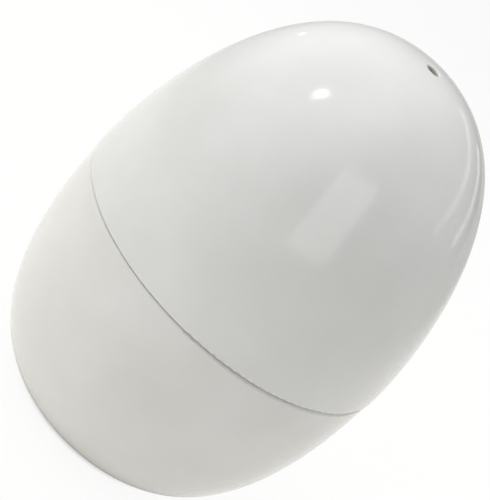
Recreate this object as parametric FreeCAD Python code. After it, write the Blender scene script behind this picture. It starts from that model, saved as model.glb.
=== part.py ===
import FreeCAD, Part

import math
import os

# Egg-shaped steam cooker for one egg. Millimetres, +Z up, origin at the centre of the foot.

# Outline of the closed egg
egg_radius = 34.0  # the lid's outside radius at the seam, the widest place
egg_height = 92.5
seam_height = 40.5  # top of the base's ledge
foot_radius = 15.5  # the flat that it stands on
foot_handle = 6.5  # curve handles, longer for a fuller egg
lower_handle = 32.0
upper_handle = 14.0
tip_handle = 28.0

# Moulded walls
base_wall = 2.0
lid_wall = 1.8
lid_overhang = 0.2  # the lid stands this far proud of the base
seam_gap = 0.12
edge_round = 0.55
foot_ring_width = 2.6
foot_recess = 0.7

# Neck of the base, which the lid drops over
neck_wall = 1.2
neck_clearance = 0.4  # neck to lid
neck_root_depth = 3.0  # the thick root of the neck below the ledge

# Bayonet: lugs in the lid drop into slots in the neck and turn under their bars
lug_count = 3
lug_angle = 18.0
lug_height = 1.4
lug_chamfer = 0.3
lug_clearance = 0.6  # lug to cup
lug_play = 0.2  # above and below a lug
slot_sill = 1.2  # neck left under the slot
slot_bar = 1.4  # neck left above the slot
slot_side_play = 2.0  # degrees, each side of a lug
turn_angle = 24.0
first_slot_angle = 200.0  # the first slot mouth, from +X

# Drawn cup that holds the egg over the water
sheet = 0.5
cup_clearance = 0.3  # cup to neck
cup_seat_depth = 2.0  # bottom of the cup's skirt, below the ledge
cup_step_width = 1.5
cup_first_riser = 2.2
cup_second_riser = 2.8
cup_bend = 0.7
cup_roll = 0.8  # radius of the rolled mouth
cup_depth = 27.2
cup_floor_radius = 8.0
bowl_side_handle = 15.0
cup_straight = 7.5  # straight wall under the rolled mouth
bowl_floor_handle = 9.0
drain_radius = 4.0  # the hole in the middle, where water runs through to the base
steam_hole_count = 6
steam_hole_radius = 1.5
steam_hole_circle = 14.0  # radius

# Ribs inside the base, which carry the cup
rib_count = 6
rib_thickness = 1.6
rib_overlap = 1.0  # how far a rib reaches in past the skirt

# Liner of the lid and the catches that hold it
liner_gap = 2.0  # lid wall to liner
liner_flange_clearance = 0.5  # flange to lid wall
liner_seat_gap = 0.2  # liner to cup
liner_bend = 0.9  # inner radius where the dome turns out to its flange
catch_thickness = 0.9
catch_angle = 14.0
catch_ramp = 0.5  # the catch is this much thinner at its tip
catch_gap = 0.3  # catch to neck and to liner

# Steam vent at the tip
vent_radius = 1.2
vent_round = 0.5
liner_vent_radius = 2.0

Vec = FreeCAD.Vector
ORIGIN = Vec(0, 0, 0)
UP = Vec(0, 0, 1)
SECTION_NORMAL = Vec(0, 1, 0)
CURVE_TOLERANCE = 0.002

# Levels and radii that the pieces share
rim_z = seam_height + seam_gap
slot_floor_z = seam_height + slot_sill
slot_roof_z = slot_floor_z + lug_height + 2 * lug_play
neck_top_z = slot_roof_z + slot_bar
catch_z = neck_top_z + catch_gap
flange_z = catch_z + catch_thickness + catch_gap
step_z = flange_z - liner_seat_gap
cup_seat_z = seam_height - cup_seat_depth
neck_outer = egg_radius - lid_wall - neck_clearance
neck_inner = neck_outer - neck_wall
cup_radius = neck_inner - cup_clearance
liner_inset = lid_wall + liner_gap


def point(radius, height):
    return Vec(radius, 0, height)


def line(start, end):
    return Part.makeLine(start, end)


def curve_through_handles(*poles):
    curve = Part.BezierCurve()
    curve.setPoles([point(*pole) for pole in poles])
    return curve


def moved_inwards(curve, inset):
    """The same curve at an even distance inside, as a moulded wall needs."""
    offset = Part.OffsetCurve(curve, inset, SECTION_NORMAL)
    return offset.approximateBSpline(CURVE_TOLERANCE, 12, 5)


def ends(curve):
    return curve.value(curve.FirstParameter), curve.value(curve.LastParameter)


def turned(edges):
    """A solid of revolution from a closed section beside the axis."""
    return Part.Face(Part.Wire(edges)).revolve(ORIGIN, UP, 360)


def quarter_arc(start, centre, end):
    """A quarter turn between two points, for a rounded edge of a section."""
    radius = start.distanceToPoint(centre)
    outwards = ((start + end) / 2 - centre).normalize()
    return Part.Arc(start, centre + outwards * radius, end).toShape()


def straight_edges(corners):
    """Straight runs through all the corners and back to the first."""
    return Part.makePolygon(corners + corners[:1]).Edges


def parameter_where(curve, passed):
    """The first place along a curve where a test on its point holds."""
    low, high = curve.FirstParameter, curve.LastParameter
    for _ in range(40):
        middle = (low + high) / 2
        if passed(curve.value(middle)):
            high = middle
        else:
            low = middle
    return high


def at_height(curve, height):
    return parameter_where(curve, lambda place: place.z >= height)


def opened_to(curve, radius):
    """The place where an outline that rises and opens out from the foot reaches a radius."""
    return parameter_where(curve, lambda place: place.x >= radius)


def closed_to(curve, radius):
    """The place where an outline that rises and closes in on the tip reaches a radius."""
    return parameter_where(curve, lambda place: place.x <= radius)


def sector(section, start, sweep):
    """A section turned through part of a circle."""
    solid = Part.Face(Part.Wire(section)).revolve(ORIGIN, UP, sweep)
    solid.rotate(ORIGIN, UP, start)
    return solid


def slot_angles():
    return [first_slot_angle + 360.0 * i / lug_count for i in range(lug_count)]


base_radius = egg_radius - lid_overhang
base_side_top = seam_height - edge_round
base_outline = curve_through_handles(
    (foot_radius, 0),
    (foot_radius + foot_handle, 0),
    (base_radius, base_side_top - lower_handle),
    (base_radius, base_side_top),
)
lid_side_low = rim_z + edge_round
lid_outline = curve_through_handles(
    (egg_radius, lid_side_low),
    (egg_radius, lid_side_low + upper_handle),
    (tip_handle, egg_height),
    (0, egg_height),
)
lid_inside = moved_inwards(lid_outline, lid_wall)


def base_bowl():
    """The bowl, its foot ring and ledge, and the neck before its slots are cut."""
    inside = moved_inwards(base_outline, base_wall)
    floor_z = foot_recess + base_wall
    root_low = seam_height - neck_root_depth
    wall_at_root = inside.value(at_height(inside, root_low)).x
    root_end = at_height(inside, root_low - (wall_at_root - neck_inner))
    floor_start = at_height(inside, floor_z)
    ring_inner = foot_radius - foot_ring_width

    ledge_edge = point(base_radius - edge_round, seam_height)
    ledge_centre = point(base_radius - edge_round, base_side_top)
    neck_side_top = point(neck_outer, neck_top_z - edge_round)
    neck_edge = point(neck_outer - edge_round, neck_top_z)
    neck_centre = point(neck_outer - edge_round, neck_top_z - edge_round)
    ledge_root = point(neck_outer, seam_height)
    neck_inner_top = point(neck_inner, neck_top_z)
    neck_root = point(neck_inner, root_low)
    floor_edge = inside.value(floor_start)
    floor_centre = point(0, floor_z)
    recess_centre = point(0, foot_recess)
    recess_edge = point(ring_inner, foot_recess)
    ring_edge = point(ring_inner, 0)
    foot_edge = point(foot_radius, 0)
    side_top = point(base_radius, base_side_top)
    return turned(
        [
            line(recess_centre, recess_edge),
            line(recess_edge, ring_edge),
            line(ring_edge, foot_edge),
            base_outline.toShape(),
            quarter_arc(side_top, ledge_centre, ledge_edge),
            line(ledge_edge, ledge_root),
            line(ledge_root, neck_side_top),
            quarter_arc(neck_side_top, neck_centre, neck_edge),
            line(neck_edge, neck_inner_top),
            line(neck_inner_top, neck_root),
            line(neck_root, inside.value(root_end)),
            inside.toShape(floor_start, root_end),
            line(floor_edge, floor_centre),
            line(floor_centre, recess_centre),
        ]
    )


def cup_ribs():
    """Ribs inside the bowl, cut to its curve, which the cup's skirt stands on."""
    mid_wall = moved_inwards(base_outline, base_wall / 2)
    rib_inner = cup_radius - sheet - rib_overlap
    low = opened_to(mid_wall, rib_inner)
    high = at_height(mid_wall, cup_seat_z)
    top_inner = point(rib_inner, cup_seat_z)
    section = [
        mid_wall.toShape(low, high),
        line(mid_wall.value(high), top_inner),
        line(top_inner, mid_wall.value(low)),
    ]
    rib = Part.Face(Part.Wire(section)).extrude(SECTION_NORMAL * rib_thickness)
    rib.translate(SECTION_NORMAL * (-rib_thickness / 2))
    ribs = []
    for i in range(rib_count):
        copy = rib.copy()
        copy.rotate(ORIGIN, UP, 360.0 * (i + 0.5) / rib_count)
        ribs.append(copy)
    return ribs


def slot_section(top):
    """A rectangle through the neck's wall, from the slot's floor up."""
    inner = neck_inner - cup_clearance
    outer = neck_outer + neck_clearance
    return straight_edges(
        [
            point(inner, slot_floor_z),
            point(outer, slot_floor_z),
            point(outer, top),
            point(inner, top),
        ]
    )


def neck_slots():
    """For each lug, a mouth open at the top and a run under the bar beside it."""
    half_mouth = lug_angle / 2 + slot_side_play
    above_neck = neck_top_z + slot_bar
    slots = []
    for centre in slot_angles():
        start = centre - half_mouth
        slots.append(sector(slot_section(above_neck), start, 2 * half_mouth))
        slots.append(sector(slot_section(slot_roof_z), start - turn_angle, turn_angle + half_mouth))
    return slots


def base_shell():
    """The moulded lower half of the egg."""
    return base_bowl().fuse(cup_ribs()).cut(neck_slots()).removeSplitter()


def rounded_path(points, radius):
    """Straight runs joined by tangent arcs, as a sheet bends."""
    edges = []
    start = points[0]
    for before, corner, after in zip(points, points[1:], points[2:]):
        back = (before - corner).normalize()
        ahead = (after - corner).normalize()
        half_turn = back.getAngle(ahead) / 2
        reach = radius / math.tan(half_turn)
        centre = corner + (back + ahead).normalize() * (radius / math.sin(half_turn))
        middle = centre + (corner - centre).normalize() * radius
        first = corner + back * reach
        last = corner + ahead * reach
        edges.append(line(start, first))
        edges.append(Part.Arc(first, middle, last).toShape())
        start = last
    edges.append(line(start, points[-1]))
    return edges


def egg_cup():
    """The drawn aluminium cup: pierced bowl, rolled mouth, two steps and a skirt in the neck."""
    shoulder = cup_radius - cup_step_width
    collar = shoulder - cup_step_width
    first_step_z = step_z + cup_first_riser
    roll_z = first_step_z + cup_second_riser - cup_roll
    mouth = collar - 2 * cup_roll
    floor_z = roll_z + cup_roll - cup_depth

    bowl_top_z = roll_z - cup_straight
    bowl = curve_through_handles(
        (cup_floor_radius, floor_z),
        (cup_floor_radius + bowl_floor_handle, floor_z),
        (mouth, bowl_top_z - bowl_side_handle),
        (mouth, bowl_top_z),
    )
    underside = moved_inwards(bowl, -sheet)
    inside_low, inside_high = ends(bowl)
    outside_low, outside_high = ends(underside)
    centre = point(0, floor_z)
    centre_under = point(0, floor_z - sheet)
    cup = turned(
        [
            line(centre, inside_low),
            bowl.toShape(),
            line(inside_high, outside_high),
            underside.toShape(),
            line(outside_low, centre_under),
            line(centre_under, centre),
        ]
    )

    roll_top = point(mouth + cup_roll, roll_z + cup_roll)
    rim_path = [
        line(inside_high, point(mouth, roll_z)),
        Part.Arc(point(mouth, roll_z), roll_top, point(collar, roll_z)).toShape(),
    ]
    rim_path += rounded_path(
        [
            point(collar, roll_z),
            point(collar, first_step_z),
            point(shoulder, first_step_z),
            point(shoulder, step_z),
            point(cup_radius, step_z),
            point(cup_radius, cup_seat_z),
        ],
        cup_bend,
    )
    rim_section = Part.Wire(rim_path).makeOffset2D(-sheet, fill=True, openResult=True)
    cup = cup.fuse(turned(rim_section.OuterWire.OrderedEdges))

    below = floor_z - 2 * sheet
    holes = [Part.makeCylinder(drain_radius, cup_depth, point(0, below))]
    for i in range(steam_hole_count):
        hole = Part.makeCylinder(steam_hole_radius, cup_depth, point(steam_hole_circle, below))
        hole.rotate(ORIGIN, UP, 360.0 * i / steam_hole_count)
        holes.append(hole)
    return cup.cut(holes).removeSplitter()


def lid_dome():
    """The lid's wall, with a rounded rim and a rounded edge round the vent."""
    side_low = point(egg_radius, lid_side_low)
    rim_centre = point(egg_radius - edge_round, lid_side_low)
    rim_edge = point(egg_radius - edge_round, rim_z)
    inside_low = lid_inside.value(lid_inside.FirstParameter)
    rim_inside = point(inside_low.x, rim_z)

    vent_start = closed_to(lid_outline, vent_radius + vent_round)
    vent_edge = lid_outline.value(vent_start)
    vent_centre = point(vent_edge.x, vent_edge.z - vent_round)
    vent_side = point(vent_radius, vent_centre.z)
    vent_end = closed_to(lid_inside, vent_radius)
    return turned(
        [
            line(rim_inside, rim_edge),
            quarter_arc(rim_edge, rim_centre, side_low),
            lid_outline.toShape(lid_outline.FirstParameter, vent_start),
            quarter_arc(vent_edge, vent_centre, vent_side),
            line(vent_side, lid_inside.value(vent_end)),
            lid_inside.toShape(lid_inside.FirstParameter, vent_end),
            line(inside_low, rim_inside),
        ]
    )


def lid_shell():
    """The moulded upper half of the egg, with its bayonet lugs and the catches for its liner."""
    tip = cup_radius + lug_clearance
    in_wall = egg_radius - lid_wall / 2
    lug_low = slot_floor_z + lug_play
    lug_high = lug_low + lug_height
    lug_section = [
        point(tip, lug_low + lug_chamfer),
        point(tip + lug_chamfer, lug_low),
        point(in_wall, lug_low),
        point(in_wall, lug_high),
        point(tip + lug_chamfer, lug_high),
        point(tip, lug_high - lug_chamfer),
    ]
    catch_high = catch_z + catch_thickness
    catch_section = [
        point(tip, catch_z + catch_ramp),
        point(in_wall, catch_z),
        point(in_wall, catch_high),
        point(tip, catch_high),
    ]
    half_step = 180.0 / lug_count
    held = []
    for centre in slot_angles():
        held.append(sector(straight_edges(lug_section), centre - lug_angle / 2, lug_angle))
        catch_start = centre + half_step - catch_angle / 2
        held.append(sector(straight_edges(catch_section), catch_start, catch_angle))
    return lid_dome().fuse(held).removeSplitter()


def lid_liner():
    """The thin aluminium dome inside the lid, with a flange that the catches hold."""
    outer = moved_inwards(lid_outline, liner_inset)
    inner = moved_inwards(lid_outline, liner_inset + sheet)
    bend_inside = at_height(inner, flange_z + liner_bend)
    bend_outside = at_height(outer, flange_z + liner_bend)
    inner_low = inner.value(bend_inside)
    outer_low = outer.value(bend_outside)
    inner_high = closed_to(inner, liner_vent_radius)
    outer_high = closed_to(outer, liner_vent_radius)
    flange_radius = lid_inside.value(at_height(lid_inside, flange_z)).x - liner_flange_clearance
    flange_top = flange_z + sheet
    bend_inner = point(inner_low.x + liner_bend, flange_z)
    bend_outer = point(outer_low.x + liner_bend - sheet, flange_top)
    return turned(
        [
            inner.toShape(bend_inside, inner_high),
            line(inner.value(inner_high), outer.value(outer_high)),
            outer.toShape(bend_outside, outer_high),
            quarter_arc(outer_low, point(bend_outer.x, outer_low.z), bend_outer),
            line(bend_outer, point(flange_radius, flange_top)),
            line(point(flange_radius, flange_top), point(flange_radius, flange_z)),
            line(point(flange_radius, flange_z), bend_inner),
            quarter_arc(bend_inner, point(bend_inner.x, inner_low.z), inner_low),
        ]
    )


os.makedirs("parts", exist_ok=True)
for name, make in {
    "base_shell": base_shell,
    "egg_cup": egg_cup,
    "lid_liner": lid_liner,
    "lid_shell": lid_shell,
}.items():
    shape = make()
    solid = shape.Solids[0]
    print(name, shape.ShapeType, len(shape.Solids), solid.isValid(), round(solid.Volume), len(solid.Faces))
    solid.exportStep("parts/" + name + ".step")
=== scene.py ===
from math import cos, pi, radians, sin

import bmesh
import bpy
from mathutils import Matrix, Vector


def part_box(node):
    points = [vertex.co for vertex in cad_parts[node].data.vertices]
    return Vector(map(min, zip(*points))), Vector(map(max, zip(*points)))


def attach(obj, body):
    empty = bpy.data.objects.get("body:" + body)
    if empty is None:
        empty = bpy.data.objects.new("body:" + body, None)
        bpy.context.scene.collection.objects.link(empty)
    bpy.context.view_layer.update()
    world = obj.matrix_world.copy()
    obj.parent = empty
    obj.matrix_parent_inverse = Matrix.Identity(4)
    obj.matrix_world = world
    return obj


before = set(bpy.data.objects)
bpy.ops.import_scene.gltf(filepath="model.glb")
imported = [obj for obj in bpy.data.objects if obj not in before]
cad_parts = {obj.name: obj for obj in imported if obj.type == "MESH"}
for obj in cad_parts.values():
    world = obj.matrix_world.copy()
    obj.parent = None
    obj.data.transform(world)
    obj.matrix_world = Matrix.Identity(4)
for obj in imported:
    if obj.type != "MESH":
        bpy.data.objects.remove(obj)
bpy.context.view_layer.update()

MM = 0.001

# Camera
# It looks at the cooker from the front and a little above. It is rolled, so that the upright cooker leans to
# the right in the picture, as it does in the photograph.
view_elevation = radians(24.1)
view_roll = radians(44.5)
view_distance = 0.3883
nearest_seen = 0.01
picture_height = 500
focal_pixels = 2162
picture_offset = Vector((-2.66 * MM, -0.56 * MM))
sensor_height = 36

cooker_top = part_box("lid_shell")[1][2]
cooker_middle = Vector((0, 0, cooker_top / 2))
look_up = Vector((0, sin(view_elevation), cos(view_elevation)))
look_back = Vector((0, -cos(view_elevation), sin(view_elevation)))
look_right = Vector((1, 0, 0))
picture_right = cos(view_roll) * look_right + sin(view_roll) * look_up
picture_up = cos(view_roll) * look_up - sin(view_roll) * look_right
aim = cooker_middle + picture_offset.x * picture_right + picture_offset.y * picture_up
facing = Matrix((picture_right, picture_up, look_back)).transposed().to_4x4()
camera = bpy.data.objects.new("camera", bpy.data.cameras.new("camera"))
camera.data.sensor_fit = "VERTICAL"
camera.data.sensor_height = sensor_height
camera.data.lens = focal_pixels / picture_height * sensor_height
camera.data.clip_start = nearest_seen
camera.matrix_world = Matrix.Translation(aim + view_distance * look_back) @ facing
bpy.context.scene.collection.objects.link(camera)
bpy.context.scene.camera = camera

# Base
# The lower half of the cooker is one moulding of glossy white polypropylene. Its skin is a little wavy where
# it shrank in the mould, and it has picked up fine scuffs and a few grains of dust.
base_white = (0.83, 0.83, 0.82, 1)
base_white_shade = (0.79, 0.79, 0.775, 1)
base_waviness = 0.7
plastic_dust = 1.0
dust_grey = (0.45, 0.43, 0.40, 1)
plastic_roughness = 0.11
scuffed_roughness = 0.22
plastic_ior = 1.49
plastic_glow = 0.15
plastic_glow_colour = (1.0, 0.9, 0.8)
plastic_glow_depth = 1.0 * MM
skin_depth = 0.05 * MM
skin_strength = 0.4
pitting_share = 0.02


def link(tree, source, output, target, socket):
    tree.links.new(source.outputs[output], target.inputs[socket])


def sockets(group, direction, kind, names):
    for name in names:
        group.interface.new_socket(name, in_out=direction, socket_type=kind)


def noise(tree, scale, detail, roughness=0.5):
    node = tree.nodes.new("ShaderNodeTexNoise")
    node.inputs["Scale"].default_value = scale
    node.inputs["Detail"].default_value = detail
    node.inputs["Roughness"].default_value = roughness
    return node


def ramp(tree, low, high, low_value=0.0, high_value=1.0):
    """A node that takes low to low_value and high to high_value, evenly in between."""
    node = tree.nodes.new("ShaderNodeMapRange")
    node.inputs["From Min"].default_value = low
    node.inputs["From Max"].default_value = high
    node.inputs["To Min"].default_value = low_value
    node.inputs["To Max"].default_value = high_value
    return node


def maths(tree, operation, second=1.0):
    """A sum or product of its inputs. The second is the number given, where nothing is linked to it."""
    node = tree.nodes.new("ShaderNodeMath")
    node.operation = operation
    node.inputs[1].default_value = second
    return node


def colour_mix(tree, first, second):
    node = tree.nodes.new("ShaderNodeMix")
    node.data_type = "RGBA"
    node.inputs["A"].default_value = first
    node.inputs["B"].default_value = second
    return node


def moulded_skin_group():
    """Mottle, scuffs, dust and the height of a moulded plastic skin."""
    group = bpy.data.node_groups.new("moulded_skin", "ShaderNodeTree")
    sockets(group, "INPUT", "NodeSocketVector", ["Vector"])
    sockets(group, "INPUT", "NodeSocketFloat", ["Waviness", "Dust"])
    sockets(group, "OUTPUT", "NodeSocketFloat", ["Mottle", "Scuff", "Dust", "Height"])
    inside = group.nodes.new("NodeGroupInput")
    out = group.nodes.new("NodeGroupOutput")

    mottle = noise(group, scale=60, detail=3)
    mottle_range = ramp(group, low=0.35, high=0.65)
    link(group, inside, "Vector", mottle, "Vector")
    link(group, mottle, "Fac", mottle_range, "Value")
    link(group, mottle_range, "Result", out, "Mottle")

    scuff = noise(group, scale=240, detail=6, roughness=0.65)
    scuff_range = ramp(group, low=0.5, high=0.75)
    link(group, inside, "Vector", scuff, "Vector")
    link(group, scuff, "Fac", scuff_range, "Value")
    link(group, scuff_range, "Result", out, "Scuff")

    # Each cell holds one grain in its middle, and nearly all of the cells are then left empty
    cells = group.nodes.new("ShaderNodeTexVoronoi")
    cells.inputs["Scale"].default_value = 110
    grain_size = ramp(group, low=0.03, high=0.018)
    cell_number = group.nodes.new("ShaderNodeSeparateColor")
    rare = ramp(group, low=0.985, high=0.99)
    grain = maths(group, "MULTIPLY")
    dust = maths(group, "MULTIPLY")
    link(group, inside, "Vector", cells, "Vector")
    link(group, cells, "Distance", grain_size, "Value")
    link(group, cells, "Color", cell_number, "Color")
    link(group, cell_number, "Red", rare, "Value")
    link(group, grain_size, "Result", grain, 0)
    link(group, rare, "Result", grain, 1)
    link(group, grain, "Value", dust, 0)
    link(group, inside, "Dust", dust, 1)
    link(group, dust, "Value", out, "Dust")

    wave = noise(group, scale=70, detail=2)
    pitting = noise(group, scale=900, detail=2)
    wave_height = maths(group, "MULTIPLY")
    height = maths(group, "MULTIPLY_ADD", second=pitting_share)
    link(group, inside, "Vector", wave, "Vector")
    link(group, inside, "Vector", pitting, "Vector")
    link(group, wave, "Fac", wave_height, 0)
    link(group, inside, "Waviness", wave_height, 1)
    link(group, pitting, "Fac", height, 0)
    link(group, wave_height, "Value", height, 2)
    link(group, height, "Value", out, "Height")
    return group


moulded_skin = moulded_skin_group()


def white_plastic(name, white, shade, waviness):
    material = bpy.data.materials.new(name)
    material.use_nodes = True
    tree = material.node_tree
    shader = tree.nodes["Principled BSDF"]
    place = tree.nodes.new("ShaderNodeTexCoord")
    skin = tree.nodes.new("ShaderNodeGroup")
    skin.node_tree = moulded_skin
    skin.inputs["Waviness"].default_value = waviness
    skin.inputs["Dust"].default_value = plastic_dust
    link(tree, place, "Object", skin, "Vector")

    colour = colour_mix(tree, white, shade)
    dusty = colour_mix(tree, white, dust_grey)
    link(tree, skin, "Mottle", colour, "Factor")
    link(tree, colour, "Result", dusty, "A")
    link(tree, skin, "Dust", dusty, "Factor")
    link(tree, dusty, "Result", shader, "Base Color")

    roughness = ramp(tree, 0, 1, plastic_roughness, scuffed_roughness)
    link(tree, skin, "Scuff", roughness, "Value")
    link(tree, roughness, "Result", shader, "Roughness")

    bump = tree.nodes.new("ShaderNodeBump")
    bump.inputs["Distance"].default_value = skin_depth
    bump.inputs["Strength"].default_value = skin_strength
    link(tree, skin, "Height", bump, "Height")
    link(tree, bump, "Normal", shader, "Normal")
    shader.inputs["IOR"].default_value = plastic_ior
    shader.inputs["Subsurface Weight"].default_value = plastic_glow
    shader.inputs["Subsurface Radius"].default_value = plastic_glow_colour
    shader.inputs["Subsurface Scale"].default_value = plastic_glow_depth
    return material


def finish(node, material):
    """Gives a node's object its material."""
    mesh = bpy.data.objects[node].data
    mesh.materials.clear()
    mesh.materials.append(material)


base_plastic = white_plastic("base_white_plastic", base_white, base_white_shade, base_waviness)
finish("base_shell", base_plastic)

# Lid
# The upper half of the cooker is a second moulding of the same plastic. It is a touch brighter than the
# base, and its skin is a little wavier, because its wall is thinner. A painted shade darkens the bore of
# its vent.
lid_white = (0.835, 0.84, 0.835, 1)
lid_white_shade = (0.795, 0.80, 0.79, 1)
lid_waviness = 1.0
vent_shade_colour = (0.54, 0.535, 0.48, 1)
vent_shade_edge = (1.22 * MM, 1.45 * MM)


def from_axis(tree, place, output):
    """The distance of each point from the cooker's upright axis."""
    across = tree.nodes.new("ShaderNodeVectorMath")
    across.operation = "MULTIPLY"
    across.inputs[1].default_value = (1, 1, 0)
    radius = tree.nodes.new("ShaderNodeVectorMath")
    radius.operation = "LENGTH"
    link(tree, place, output, across, 0)
    link(tree, across, "Vector", radius, 0)
    return radius


def paint_shade_in_vent(material):
    """Paints shade into the bore of the vent, which stands on the axis."""
    tree = material.node_tree
    shader = tree.nodes["Principled BSDF"]
    unshaded_colour = shader.inputs["Base Color"].links[0].from_socket
    place = tree.nodes.new("ShaderNodeTexCoord")
    radius = from_axis(tree, place, "Object")
    # Inside the bore the colour is mixed towards a darker grey: painted shade, not a stain
    amount = ramp(tree, *vent_shade_edge, low_value=1.0, high_value=0.0)
    shaded = colour_mix(tree, lid_white, vent_shade_colour)
    link(tree, radius, "Value", amount, "Value")
    link(tree, amount, "Result", shaded, "Factor")
    tree.links.new(unshaded_colour, shaded.inputs["A"])
    link(tree, shaded, "Result", shader, "Base Color")


lid_plastic = white_plastic("lid_white_plastic", lid_white, lid_white_shade, lid_waviness)
paint_shade_in_vent(lid_plastic)
finish("lid_shell", lid_plastic)

# Cup
# The cup is drawn from half-millimetre aluminium sheet and trimmed on a lathe, so that fine rings run round
# it. Use and washing have dulled it in soft patches.
cup_bright = (0.82, 0.82, 0.825, 1)
cup_dull = (0.66, 0.66, 0.67, 1)
cup_ring_rise = 1.0
aluminium_roughness = 0.2
dulled_roughness = 0.38
ring_wear = 0.4
ring_depth = 0.02 * MM
ring_strength = 0.5


def drawn_sheet_group():
    """Fine rings and dull patches of sheet that was drawn and trimmed while it turned."""
    group = bpy.data.node_groups.new("drawn_sheet", "ShaderNodeTree")
    sockets(group, "INPUT", "NodeSocketVector", ["Vector"])
    sockets(group, "INPUT", "NodeSocketFloat", ["Rise"])
    sockets(group, "OUTPUT", "NodeSocketFloat", ["Rings", "Patches", "Height"])
    inside = group.nodes.new("NodeGroupInput")
    out = group.nodes.new("NodeGroupOutput")

    # The rings follow the sheet outwards and up, or outwards and down, as Rise says
    radius = from_axis(group, inside, "Vector")
    upwards = group.nodes.new("ShaderNodeSeparateXYZ")
    along = maths(group, "MULTIPLY_ADD")
    link(group, inside, "Vector", upwards, "Vector")
    link(group, upwards, "Z", along, 0)
    link(group, inside, "Rise", along, 1)
    link(group, radius, "Value", along, 2)

    rings = noise(group, scale=1500, detail=5, roughness=0.7)
    rings.noise_dimensions = "1D"
    ring_range = ramp(group, low=0.3, high=0.7)
    link(group, along, "Value", rings, "W")
    link(group, rings, "Fac", ring_range, "Value")
    link(group, ring_range, "Result", out, "Rings")
    link(group, rings, "Fac", out, "Height")

    patches = noise(group, scale=90, detail=5, roughness=0.6)
    patch_range = ramp(group, low=0.4, high=0.7)
    link(group, inside, "Vector", patches, "Vector")
    link(group, patches, "Fac", patch_range, "Value")
    link(group, patch_range, "Result", out, "Patches")
    return group


drawn_sheet = drawn_sheet_group()


def drawn_aluminium(name, bright, dull, rise):
    material = bpy.data.materials.new(name)
    material.use_nodes = True
    tree = material.node_tree
    shader = tree.nodes["Principled BSDF"]
    place = tree.nodes.new("ShaderNodeTexCoord")
    sheet = tree.nodes.new("ShaderNodeGroup")
    sheet.node_tree = drawn_sheet
    sheet.inputs["Rise"].default_value = rise
    link(tree, place, "Object", sheet, "Vector")

    colour = colour_mix(tree, bright, dull)
    link(tree, sheet, "Patches", colour, "Factor")
    link(tree, colour, "Result", shader, "Base Color")

    wear = maths(tree, "MULTIPLY_ADD", second=ring_wear)
    most_wear = 1 + ring_wear
    roughness = ramp(tree, 0, most_wear, aluminium_roughness, dulled_roughness)
    link(tree, sheet, "Rings", wear, 0)
    link(tree, sheet, "Patches", wear, 2)
    link(tree, wear, "Value", roughness, "Value")
    link(tree, roughness, "Result", shader, "Roughness")

    bump = tree.nodes.new("ShaderNodeBump")
    bump.inputs["Distance"].default_value = ring_depth
    bump.inputs["Strength"].default_value = ring_strength
    link(tree, sheet, "Height", bump, "Height")
    link(tree, bump, "Normal", shader, "Normal")
    shader.inputs["Metallic"].default_value = 1.0
    return material


finish("egg_cup", drawn_aluminium("cup_aluminium", cup_bright, cup_dull, cup_ring_rise))

# Lid liner
# The liner is a dome of the same sheet, spun to the inside of the lid. It narrows as it rises, so its rings
# follow the other slope.
liner_bright = (0.80, 0.80, 0.81, 1)
liner_dull = (0.68, 0.68, 0.69, 1)
liner_ring_rise = -1.0
liner_aluminium = drawn_aluminium("liner_aluminium", liner_bright, liner_dull, liner_ring_rise)
finish("lid_liner", liner_aluminium)

# Gate mark
# A small ring and nub of plastic are left in the middle of the foot, where the base's mould was filled. They
# belong to the base's own moulding.
gate_ring_radius = 2.2 * MM
gate_ring_width = 0.3 * MM
gate_ring_height = 0.15 * MM
gate_ring_steps = 48
gate_nub_radius = 0.7 * MM
gate_nub_taper = 0.9
gate_nub_height = 0.3 * MM
gate_nub_segments = 32
gate_root = 0.1 * MM
gate_rounding_share = 0.3
gate_rounding_segments = 3
gate_sharp_angle = radians(40)
foot_recess = 0.7 * MM
same_level = 0.01 * MM
same_point = 0.0001 * MM


def gate_ring(mesh):
    """Turns a raised ring from a small rounded section, in a mesh that is still empty."""
    outer_radius = gate_ring_radius + gate_ring_width
    top = foot_recess + gate_root
    low = foot_recess - gate_ring_height
    corners = [(gate_ring_radius, top), (gate_ring_radius, low), (outer_radius, low), (outer_radius, top)]
    verts = [mesh.verts.new((x, 0, z)) for x, z in corners]
    for ends in zip(verts, verts[1:] + verts[:1]):
        mesh.edges.new(ends)
    bmesh.ops.bevel(
        mesh,
        geom=verts[1:3],
        offset=gate_rounding_share * gate_ring_width,
        segments=gate_rounding_segments,
        profile=0.5,
        affect="VERTICES",
        material=-1,
    )
    bmesh.ops.spin(
        mesh,
        geom=mesh.verts[:] + mesh.edges[:],
        cent=(0, 0, 0),
        axis=(0, 0, 1),
        angle=2 * pi,
        steps=gate_ring_steps,
        use_merge=True,
    )


def gate_nub(mesh):
    """Adds a low round boss that hangs from the recess of the foot, its lower edge rounded."""
    top = foot_recess + gate_root
    low = foot_recess - gate_nub_height
    made = bmesh.ops.create_cone(
        mesh,
        cap_ends=True,
        segments=gate_nub_segments,
        radius1=gate_nub_radius * gate_nub_taper,
        radius2=gate_nub_radius,
        depth=top - low,
        matrix=Matrix.Translation((0, 0, (top + low) / 2)),
    )
    rim = set()
    for vert in made["verts"]:
        for edge in vert.link_edges:
            if all(abs(end.co.z - low) < same_level for end in edge.verts):
                rim.add(edge)
    bmesh.ops.bevel(
        mesh,
        geom=list(rim),
        offset=gate_rounding_share * gate_nub_height,
        segments=gate_rounding_segments,
        profile=0.5,
        affect="EDGES",
        material=-1,
    )


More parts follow.
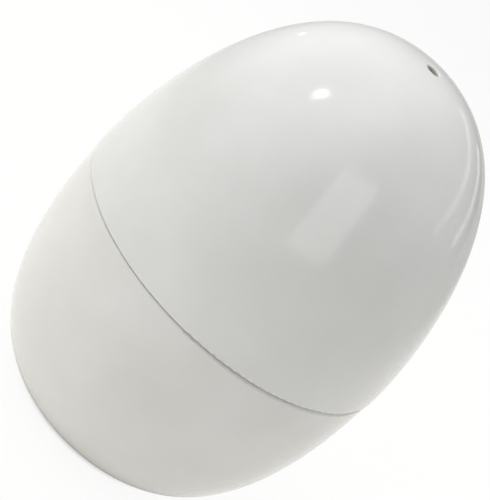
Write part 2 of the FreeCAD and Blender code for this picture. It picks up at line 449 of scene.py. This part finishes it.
def mesh_object(name, mesh, sharp_angle):
    """Makes an object of a mesh, smooth but for its sharp edges."""
    bmesh.ops.remove_doubles(mesh, verts=mesh.verts, dist=same_point)
    bmesh.ops.recalc_face_normals(mesh, faces=mesh.faces)
    for face in mesh.faces:
        face.smooth = True
    for edge in mesh.edges:
        edge.smooth = edge.calc_face_angle(0) < sharp_angle
    data = bpy.data.meshes.new(name)
    mesh.to_mesh(data)
    mesh.free()
    thing = bpy.data.objects.new(name, data)
    bpy.context.scene.collection.objects.link(thing)
    return thing


gate = bmesh.new()
gate_ring(gate)
gate_nub(gate)
gate_mark = mesh_object("gate_mark", gate, gate_sharp_angle)
gate_mark.data.materials.append(base_plastic)
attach(gate_mark, "base")

# Room
# The cooker stands on a white sheet on a grey table, in a room that is bright above and high on the left.
# Two small lamps, two strips of light, a pale screen and the sheet show in the plastic's gloss. The camera
# sees the room as white, and the floor as nearly white beyond the shadow at the foot.
plain_white = (1, 1, 1, 1)
floor_half = 3.0
floor_roughness = 0.7
sheet_white = (0.92, 0.90, 0.86, 1)
sheet_glow = (1.0, 0.98, 0.93, 1)
sheet_glow_strength = 0.06
sheet_seen = (1.0, 0.99, 0.95, 1)
table_grey = (0.45, 0.45, 0.44, 1)
camera_white_share = 0.92
gloss_white_share = 1.0
gloss_white_far_share = 0.1
room_white = (1.0, 1.0, 0.99, 1)
room_even_light = 0.16
# Distances from the axis, on the floor, between which one value gives way to another
sheet_edge = (0.15, 0.36)
shadow_edge = (0.0165, 0.0200)
gloss_shadow_edge = (0.0185, 0.030)
gloss_white_edge = (0.05, 0.2)
# Each side's azimuth and elevation, how far it reaches as a cosine, and the light it adds or takes away
room_sides = [
    ((-90, 55), 0.35, 0.97),
    ((0, 90), 0.0, 0.48),
    ((100, 10), 0.6, 0.35),
    ((-140, 0), 0.75, 0.5),
    ((20, 5), 0.6, -0.12),
]


def towards(azimuth, elevation):
    """A direction, with azimuth 0 at the camera's side and more to the right of it."""
    round_by = radians(azimuth)
    up_by = radians(elevation)
    return Vector((sin(round_by) * cos(up_by), -cos(round_by) * cos(up_by), sin(up_by)))


def seen_white(tree, shader, rays, white, share=None):
    """Mixes a plain white into what one kind of ray sees, fully or by the share that a node gives."""
    light_path = tree.nodes.new("ShaderNodeLightPath")
    glow = tree.nodes.new("ShaderNodeEmission")
    glow.inputs["Color"].default_value = white
    mix = tree.nodes.new("ShaderNodeMixShader")
    amount = maths(tree, "MULTIPLY")
    link(tree, light_path, rays, amount, 0)
    if share:
        link(tree, share, "Result", amount, 1)
    link(tree, amount, "Value", mix, "Fac")
    link(tree, shader, 0, mix, 1)
    link(tree, glow, "Emission", mix, 2)
    return mix


floor_mesh = bmesh.new()
bmesh.ops.create_grid(floor_mesh, x_segments=1, y_segments=1, size=floor_half)
floor = mesh_object("floor", floor_mesh, sharp_angle=pi)
floor_material = bpy.data.materials.new("floor")
floor_material.use_nodes = True
floor_tree = floor_material.node_tree
floor_shader = floor_tree.nodes["Principled BSDF"]
floor_place = floor_tree.nodes.new("ShaderNodeTexCoord")
floor_radius = from_axis(floor_tree, floor_place, "Object")


def by_radius(edge, inner, outer):
    """A value that goes from inner to outer between the two radii of an edge."""
    node = ramp(floor_tree, *edge, low_value=inner, high_value=outer)
    node.interpolation_type = "SMOOTHSTEP"
    link(floor_tree, floor_radius, "Value", node, "Value")
    return node


sheet_share = by_radius(sheet_edge, 0.0, 1.0)
sheet_light = by_radius(sheet_edge, sheet_glow_strength, 0.0)
floor_colour = colour_mix(floor_tree, sheet_white, table_grey)
link(floor_tree, sheet_share, "Result", floor_colour, "Factor")
link(floor_tree, floor_colour, "Result", floor_shader, "Base Color")
link(floor_tree, sheet_light, "Result", floor_shader, "Emission Strength")
floor_shader.inputs["Roughness"].default_value = floor_roughness
floor_shader.inputs["Emission Color"].default_value = sheet_glow

gloss_near = by_radius(gloss_shadow_edge, 0.0, gloss_white_share)
gloss_sees = by_radius(gloss_white_edge, gloss_white_share, gloss_white_far_share)
link(floor_tree, gloss_near, "Result", gloss_sees, "To Min")
camera_sees = by_radius(shadow_edge, 0.0, camera_white_share)
floor_in_gloss = seen_white(floor_tree, floor_shader, "Is Glossy Ray", sheet_seen, gloss_sees)
floor_seen = seen_white(floor_tree, floor_in_gloss, "Is Camera Ray", plain_white, camera_sees)
link(floor_tree, floor_seen, "Shader", floor_tree.nodes["Material Output"], "Surface")
floor.data.materials.append(floor_material)

world = bpy.data.worlds.new("room")
world.use_nodes = True
bpy.context.scene.world = world
world_tree = world.node_tree
room = world_tree.nodes["Background"]
room.inputs["Color"].default_value = room_white
direction = world_tree.nodes.new("ShaderNodeTexCoord")
room_light = world_tree.nodes.new("ShaderNodeValue")
room_light.outputs["Value"].default_value = room_even_light
for side, reach, change in room_sides:
    facing_it = world_tree.nodes.new("ShaderNodeVectorMath")
    facing_it.operation = "DOT_PRODUCT"
    facing_it.inputs[1].default_value = towards(*side)
    side_light = ramp(world_tree, low=reach, high=1.0, low_value=0.0, high_value=change)
    side_light.interpolation_type = "SMOOTHSTEP"
    both = maths(world_tree, "ADD")
    link(world_tree, direction, "Generated", facing_it, 0)
    link(world_tree, facing_it, "Value", side_light, "Value")
    link(world_tree, room_light, "Value", both, 0)
    link(world_tree, side_light, "Result", both, 1)
    room_light = both
link(world_tree, room_light, "Value", room, "Strength")
room_seen = seen_white(world_tree, room, "Is Camera Ray", plain_white)
link(world_tree, room_seen, "Shader", world_tree.nodes["World Output"], "Surface")


def lamp(name, azimuth, elevation, distance, width, height, brightness):
    """A rectangular lamp of a given brightness, facing the middle of the cooker."""
    back = towards(azimuth, elevation)
    light = bpy.data.lights.new(name, "AREA")
    light.shape = "RECTANGLE"
    light.size = width
    light.size_y = height
    light.energy = brightness * pi * width * height
    thing = bpy.data.objects.new(name, light)
    thing.location = cooker_middle + distance * back
    thing.rotation_euler = back.to_track_quat("Z", "Y").to_euler()
    bpy.context.scene.collection.objects.link(thing)
    return thing


lamp("key_lamp", azimuth=-72, elevation=47, distance=0.8, width=0.05, height=0.06, brightness=60.0)
lamp("back_lamp", azimuth=-143, elevation=10, distance=1.0, width=0.024, height=0.024, brightness=14.0)
lamp("upper_strip", azimuth=134, elevation=24.5, distance=1.0, width=1.15, height=0.08, brightness=1.0)
lamp("lower_strip", azimuth=143, elevation=9, distance=1.0, width=0.65, height=0.065, brightness=1.05)
screen = lamp("pale_screen", azimuth=22, elevation=27, distance=1.0, width=0.5, height=0.62, brightness=1.5)
screen.visible_diffuse = False

bpy.context.scene.view_settings.view_transform = "Standard"
